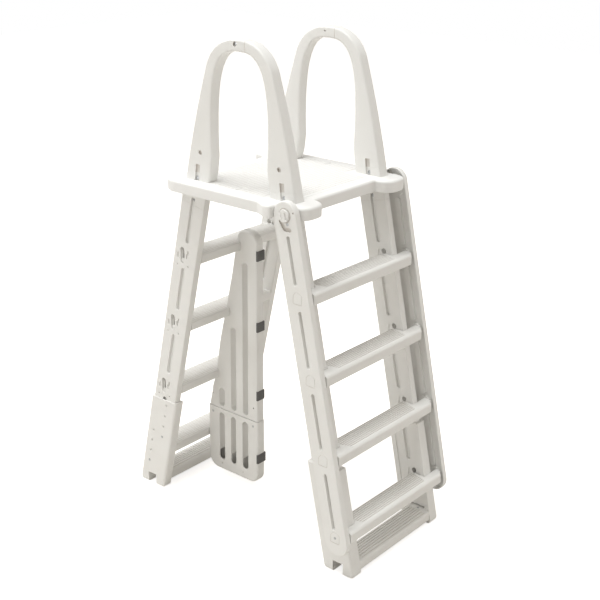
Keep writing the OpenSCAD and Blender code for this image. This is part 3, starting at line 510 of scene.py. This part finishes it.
under = bmesh.ops.edgeloop_fill(head, edges=brim)["faces"]
bmesh.ops.inset_region(head, faces=under, thickness=shank_inset)
shank = bmesh.ops.extrude_discrete_faces(head, faces=under)["faces"]
bmesh.ops.translate(head, vec=(0, 0, -shank_drop), verts=shank[0].verts)
bmesh.ops.recalc_face_normals(head, faces=head.faces)
domed_head = bpy.data.meshes.new("domed_head")
head.to_mesh(domed_head)
head.free()


def fasten(name, node, body, outward, height, both=False):
    turn_each, turn_side = 0.7, 0.4
    bm = bmesh.new()
    for k, (low, high) in enumerate(lumps(node)):
        centre = (low + high) / 2
        way = outward(centre)
        axis = 2 if abs(way.z) > 0.5 else 0
        radius = max(high[other] - low[other] for other in range(3) if other != axis) / 2
        for sign in ((1, -1) if both else (1,)):
            seat = centre.copy()
            facing = way * sign
            seat[axis] = high[axis] if facing[axis] > 0 else low[axis]
            place = Matrix.Translation(seat - facing * height)
            spin = Matrix.Rotation(turn_each * k + turn_side * sign, 4, facing)
            stand = facing.to_track_quat("Z", "Y").to_matrix().to_4x4()
            size = Matrix.Diagonal((radius, radius, height, 1))
            old = len(bm.verts)
            bm.from_mesh(domed_head)
            bm.verts.ensure_lookup_table()
            bmesh.ops.transform(bm, verts=bm.verts[old:], matrix=place @ spin @ stand @ size)
    show(bm, name, body, zinc, node, slot="steel", crease=35)


aside = lambda c: Vector((math.copysign(1, c.x), 0, 0))
fasten("leg_bolt_heads", "leg_rail_bolts", "frame", aside, height=0.003, both=True)

# --- Pool-side treads ---------------------------------------------------------------
# Hollow mouldings with a crowned top, pegged into the legs' keyholes. Rows of narrow
# pads run along each tread, with small breaks across it.
crown, end_round = 0.003, 0.0008
row_step, row_gap, row_rise, row_ends, row_edge = (0.0285, 0.0098), (0.0020, 0.0036), 0.0010, 0.012, 0.008
for k in range(1, 5):
    node = f"pool_tread_{k}"
    bm = moulding_of(node)
    low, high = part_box(node)
    reach = max(v.co.x for v in bm.verts if v.co.z > high.z - crown)
    gripping_pads(f"pool_tread_grip_{k}", "frame", shell_resin, bm,
                  Vector((-reach + row_ends, low.y + row_edge, 0)),
                  Vector((reach - row_ends, high.y - row_edge, 0)), row_step, row_gap, row_rise)
    round_off(bm, end_round, 2, lambda e: rim_of(e, 0) and abs(middle(e).x) > reach - level)
    show(bm, f"pool_tread_moulding_{k}", "frame", shell_resin, node)


# --- Handrails ----------------------------------------------------------------------
# Each handrail is two hollow arms that meet at the top of the arch, pinned through a
# tongue, and stand on short shoes bolted to the deck. Every edge is round for the hand.
def rim_chains(bm, x):
    left = {e for e in bm.edges if rim_of(e, 0) and lies_at(e, 0, x) and e.calc_face_angle_signed(0) > 0.6}
    chains = []
    while left:
        chain, edge = set(), [left.pop()]
        while edge:
            e = edge.pop()
            chain.add(e)
            near = [o for v in e.verts for o in v.link_edges if o in left]
            left.difference_update(near)
            edge.extend(near)
        ys = [v.co.y for e in chain for v in e.verts]
        chains.append((max(ys) - min(ys), chain))
    return chains


shoe_bolts = [(a + b) / 2 for a, b in lumps("handrail_foot_bolts")]


# The slot over each shoe's bolt runs from just under the bolt to well above it.
def in_slot(p):
    half, flare, below, over = 0.0145, 0.12, 0.02, 0.115
    return any(abs(p.y - q.y) < half + flare * abs(p.z - q.z) and q.z - below < p.z < q.z + over
               for q in shoe_bolts if p.x * q.x > 0 and p.y * q.y > 0)


by_hand, by_mould, left_sharp = 1, 2, 3
arm_round, shoe_round, recess_round, slot_round, joint_round = 0.0072, 0.008, 0.0006, 0.001, 0.0014
well_wide, recess_wide, end_reach, skin = 0.02, 0.03, 0.06, 0.001
for side in ("left", "right"):
    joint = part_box(f"handrail_pool_{side}")[0].y
    for end in ("front", "pool"):
        node = f"handrail_{end}_{side}"
        low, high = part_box(node)
        bm = moulding_of(node)
        tag = bm.edges.layers.int.new("round")
        wells = []
        for x in (low.x, high.x):
            for width, chain in rim_chains(bm, x):
                if width < well_wide:
                    centre = sum((middle(e) for e in chain), Vector()) / len(chain)
                    wells.append((centre, width / 2 + level))
                for e in chain:
                    p, wall = middle(e), side_wall(e, 0)
                    at_foot = wall.normal.z < -squarely and p.z < low.z + end_reach
                    at_joint = abs(wall.normal.y) > 0.999 and p.z > high.z - end_reach
                    if at_foot or at_joint:
                        e[tag] = left_sharp
                    else:
                        e[tag] = by_mould if width < recess_wide or in_slot(p) else by_hand
        round_off(bm, arm_round, 5, lambda e: e[tag] == by_hand)
        round_off(bm, recess_round, 2, lambda e: e[tag] == by_mould)
        # The joint's seam bevel, the slot floors and the screw wells take the darker resin: painted shade.
        paint_recess_shade(round_off(bm, joint_round, 2, lambda e: lies_at(e, 1, joint)))
        for f in bm.faces:
            p = f.calc_center_median()
            in_well = any(math.hypot(p.y - c.y, p.z - c.z) < reach for c, reach in wells)
            if low.x + skin < p.x < high.x - skin and (in_slot(p) or in_well):
                f.material_index = 1
        show(bm, f"handrail_arm_{end}_{side}", "frame", shell_resin, node, more=[recess_shade_resin])
        node = f"handrail_foot_{end}_{side}"
        bm = moulding_of(node)
        round_off(bm, shoe_round, 5, lambda e: rim_of(e, 0) and abs(side_wall(e, 0).normal.z) < 0.7
                  and not in_slot(middle(e)))
        round_off(bm, slot_round, 2, lambda e: rim_of(e, 0))
        show(bm, f"handrail_shoe_{end}_{side}", "frame", shell_resin, node)
fasten("handrail_joint_heads", "handrail_joint_screws", "frame", aside, height=0.003)
fasten("handrail_bolt_heads", "handrail_foot_bolts", "frame", aside, height=0.004, both=True)

# --- Swing ladder -------------------------------------------------------------------
# Two channel rails hang from the pivot pins and swing up over the deck. Each tread hooks
# into the rails and is locked there by a house-shaped plug.
pivot = Vector(joints["ladder_swing"]["pos_m"])
rail_low, rail_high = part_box("swing_rail_left")
swing_r = rail_high.z - pivot.z
tail_z = rail_low.z + swing_r
tail = Vector((0, pivot.y - slope * (pivot.z - tail_z), tail_z))


def off_swing(p):
    along = Vector((0, tail.y - pivot.y, tail.z - pivot.z))
    rel = Vector((0, p.y - pivot.y, p.z - pivot.z))
    t = min(1, max(0, rel.dot(along) / along.length_squared))
    return (rel - along * t).length


plugs = [(a + b) / 2 for a, b in lumps("swing_tread_plugs")]
plug_half_y, plug_half_z, hub_reach, track_half = 0.021, 0.0225, 0.062, 0.045
outline_round, plug_round, groove_round, track_round, back_round = 0.0048, 0.0012, 0.0016, 0.0008, 0.0013
groove_off, outline_off, inside_off = 0.0071, swing_r - 0.0012, swing_r - 0.006
for side in ("left", "right"):
    node = f"swing_rail_{side}"
    bm = moulding_of(node)
    outer_x = max(abs(v.co.x) for v in bm.verts)
    inner_x = min(abs(v.co.x) for v in bm.verts)
    off = lambda e: off_swing(middle(e))
    on_wall = lambda e, x: rim_of(e, 0) and all(abs(abs(v.co.x) - x) < level for v in e.verts)
    by_pivot = lambda p: math.hypot(p.y - pivot.y, p.z - pivot.z) < hub_reach
    by_plug = lambda e: any(abs(middle(e).y - c.y) < plug_half_y
                            and abs(middle(e).z - c.z) < plug_half_z for c in plugs)
    # The floors of the knob's track and seat by the pivot take the darker resin as painted shade; so does
    # the plug's rim bevel below.
    for f in bm.faces:
        p = f.calc_center_median()
        if 0.0015 < outer_x - abs(p.x) < 0.0075 and off_swing(p) < track_half and by_pivot(p):
            f.material_index = 1
    round_off(bm, outline_round, 4, lambda e: on_wall(e, outer_x) and off(e) > outline_off)
    paint_recess_shade(round_off(bm, plug_round, 2, lambda e: on_wall(e, outer_x) and by_plug(e)))
    round_off(bm, groove_round, 3, lambda e: on_wall(e, outer_x) and off(e) < groove_off
              and not by_plug(e) and not by_pivot(middle(e)))
    round_off(bm, track_round, 2, lambda e: on_wall(e, outer_x) and by_pivot(middle(e))
              and off(e) < inside_off)
    round_off(bm, back_round, 2, lambda e: on_wall(e, inner_x) and off(e) > inside_off)
    show(bm, f"swing_channel_{side}", "swing_ladder", shell_resin, node, more=[recess_shade_resin])

rib_round, hook_round, hook_deep, least_long = 0.0006, 0.0015, 0.03, 0.3
for k in range(1, 5):
    node = f"swing_tread_{k}"
    bm = moulding_of(node)
    low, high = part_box(node)
    # The floors of the grooves in each tread's top take the darker resin: painted shade.
    paint_recess_shade(f for f in bm.faces if f.normal.z > squarely
          and 0.001 < high.z - f.calc_center_median().z < 0.003)
    round_off(bm, rib_round, 2, lambda e: rim_of(e, 2) and lies_at(e, 2, high.z) and not rim_of(e, 0)
              and e.calc_length() > least_long)
    round_off(bm, hook_round, 3, lambda e: rim_of(e, 0) and middle(e).y < low.y + hook_deep
              and e.calc_length() > 0.0005)
    show(bm, f"swing_tread_moulding_{k}", "swing_ladder", shell_resin, node, more=[recess_shade_resin])

plug_face_round = 0.0018
bm = moulding_of("swing_tread_plugs")
round_off(bm, plug_face_round, 3, lambda e: rim_of(e, 0) and all(abs(v.co.x) > outer_x for v in e.verts))
show(bm, "tread_plugs", "swing_ladder", shell_resin, "swing_tread_plugs")
fasten("tread_screw_heads", "swing_tread_screws", "swing_ladder", aside, height=0.0016)
fasten("lock_screw_heads", "swing_lock_screws", "swing_ladder", aside, height=0.002)

# Quarter-turn knobs with their pivot pins, and the headed pins under the deck's ears.
body_of = {n: body for body, members in behaviour["bodies"].items() for n in members}
knob_round, knob_mark_round, knob_inside = 0.0016, 0.0006, 0.0195
for side in ("left", "right"):
    node = f"pivot_knob_{side}"
    bm = moulding_of(node)
    face_x = max(abs(v.co.x) for v in bm.verts)
    on_face = lambda e: rim_of(e, 0) and all(abs(v.co.x) > face_x - level for v in e.verts)
    round_off(bm, knob_round, 3, lambda e: on_face(e) and off_swing(middle(e)) > knob_inside)
    round_off(bm, knob_mark_round, 2, on_face)
    show(bm, f"knob_{side}_moulding", body_of[node], shell_resin, node)
fasten("latch_pin_heads", "latch_pins", "frame", lambda c: Vector((0, 0, -1)), height=0.004)

# --- Adjustable feet ----------------------------------------------------------------
# A sleeve slides up and down each leg and is fixed by two screws through a row of holes.
# Each pair of sleeves is tied by a hollow crossbar with ribs along its top.
outline_round, top_round, hole_round, cap_tall = 0.0088, 0.0018, 0.001, 0.0045
foot_tall, foot_off, edge_slack, edge_wide = 0.013, 0.027, 0.003, 0.012
rib_step, rib_gap, rib_rise, rib_ends, rib_edge = (0.5, 0.0112), (0.0, 0.0046), 0.0028, 0.024, 0.008
for end in ("front", "pool"):
    for side in ("left", "right"):
        node = f"{end}_sleeve_{side}"
        bm = moulding_of(node)
        low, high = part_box(node)
        outer_x = max(abs(v.co.x) for v in bm.verts)
        off = lambda e: off_leg(middle(e), end, side)
        outline = lambda e: rim_of(e, 0) and all(abs(abs(v.co.x) - outer_x) < level for v in e.verts)
        for x in (low.x, high.x):
            for out in (-1, 1):
                cap = [v for v in bm.verts if abs(v.co.x - x) < level and v.co.z > high.z - cap_tall
                       and out * (v.co.y - (low.y + high.y) / 2) > 0]
                top = [out * v.co.y for v in cap if v.co.z > high.z - level / 10]
                if top:
                    arc = [v for v in cap if out * v.co.y >= max(top) - level / 10]
                    corner_y = out * max(out * v.co.y for v in arc)
                    bmesh.ops.pointmerge(bm, verts=arc, merge_co=(x, corner_y, high.z))
        drop_slivers(bm)
        edge_off = max(off(e) for e in bm.edges if outline(e))
        at_top = lambda e: middle(e).z > high.z - level
        at_foot = lambda e: middle(e).z < low.z + foot_tall and off(e) > foot_off
        round_off(bm, outline_round, 5, lambda e: outline(e) and not at_top(e)
                  and (off(e) > edge_off - edge_slack or at_foot(e)))
        round_off(bm, top_round, 2, lambda e: outline(e) and at_top(e))
        round_off(bm, hole_round, 2, lambda e: outline(e) and not at_top(e)
                  and off(e) < edge_off - edge_wide)
        show(bm, f"{end}_sleeve_moulding_{side}", body_of[node], shell_resin, node)
    node = f"{end}_crossbar"
    bm = moulding_of(node)
    low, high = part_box(node)
    gripping_pads(f"{end}_crossbar_ribs", body_of[node], shell_resin, bm,
                  Vector((low.x + rib_ends, low.y + rib_edge, 0)),
                  Vector((high.x - rib_ends, high.y - rib_edge, 0)), rib_step, rib_gap, rib_rise)
    show(bm, f"{end}_crossbar_moulding", body_of[node], shell_resin, node)
    fasten(f"{end}_sleeve_heads", f"{end}_sleeve_screws", body_of[node], aside, height=0.0025)
    fasten(f"{end}_crossbar_heads", f"{end}_crossbar_screws", body_of[node],
           lambda c: Vector((0, 0, 1)), height=0.002)

# --- Barrier ------------------------------------------------------------------------
# A hollow slotted panel clips over the pool-side treads and keeps swimmers out from
# behind the ladder. Its lower half is a shell that slides up over a tongue.
treads = [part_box(f"pool_tread_{k}") for k in range(1, 4)]
tongue_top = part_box("barrier_lower")[1].z - 0.02
by_hand, by_slot, by_tread = 1, 2, 3
notch_slack, slot_least, slot_most, notch_round, mouth_round = 0.001, 0.02, 0.06, 0.0014, 0.0008


def in_notch(p):
    return any(a.y - notch_slack < p.y < b.y + notch_slack
               and a.z - notch_slack < p.z < b.z + notch_slack for a, b in treads)


for node, name, outer_round, slot_round in (("barrier_upper", "barrier_panel", 0.0095, 0.004),
                                            ("barrier_lower", "barrier_shell", 0.0088, 0.0018)):
    bm = moulding_of(node)
    low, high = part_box(node)
    tag = bm.edges.layers.int.new("round")
    for width, chain in rim_chains(bm, low.x) + rim_chains(bm, high.x):
        for e in chain:
            p = middle(e)
            hidden = p.z >= high.z - level if node == "barrier_lower" else p.z <= tongue_top
            if width > slot_most and in_notch(p):
                e[tag] = by_tread
            elif width > slot_most and not hidden:
                e[tag] = by_hand
            elif slot_least < width < slot_most:
                e[tag] = by_slot
    round_off(bm, outer_round, 5, lambda e: e[tag] == by_hand)
    round_off(bm, slot_round, 3, lambda e: e[tag] == by_slot)
    round_off(bm, notch_round, 2, lambda e: e[tag] == by_tread)
    if node == "barrier_lower":
        round_off(bm, mouth_round, 2, lambda e: middle(e).z > high.z - level)
    show(bm, name, body_of[node], shell_resin, node)
fasten("barrier_screw_heads", "barrier_screws", body_of["barrier_screws"],
       lambda c: Vector((-1, 0, 0)), height=0.002)

# Soft pads clip round the panel's free edge and bear on the pool's wall.
rubber = moulded("pad_rubber", (0.13, 0.128, 0.125), (0.11, 0.108, 0.106), 0.62, 0.78,
                 grain_size=700, depth=0.3, cloud_size=30)
pad_round, least_edge = 0.0009, 0.005
for node, name in (("barrier_pads", "wall_pads"), ("barrier_lower_pad", "wall_pad_low")):
    bm = moulding_of(node)
    round_off(bm, pad_round, 2, lambda e: e.calc_length() > least_edge)
    show(bm, name, body_of[node], rubber, node, slot="rubber")
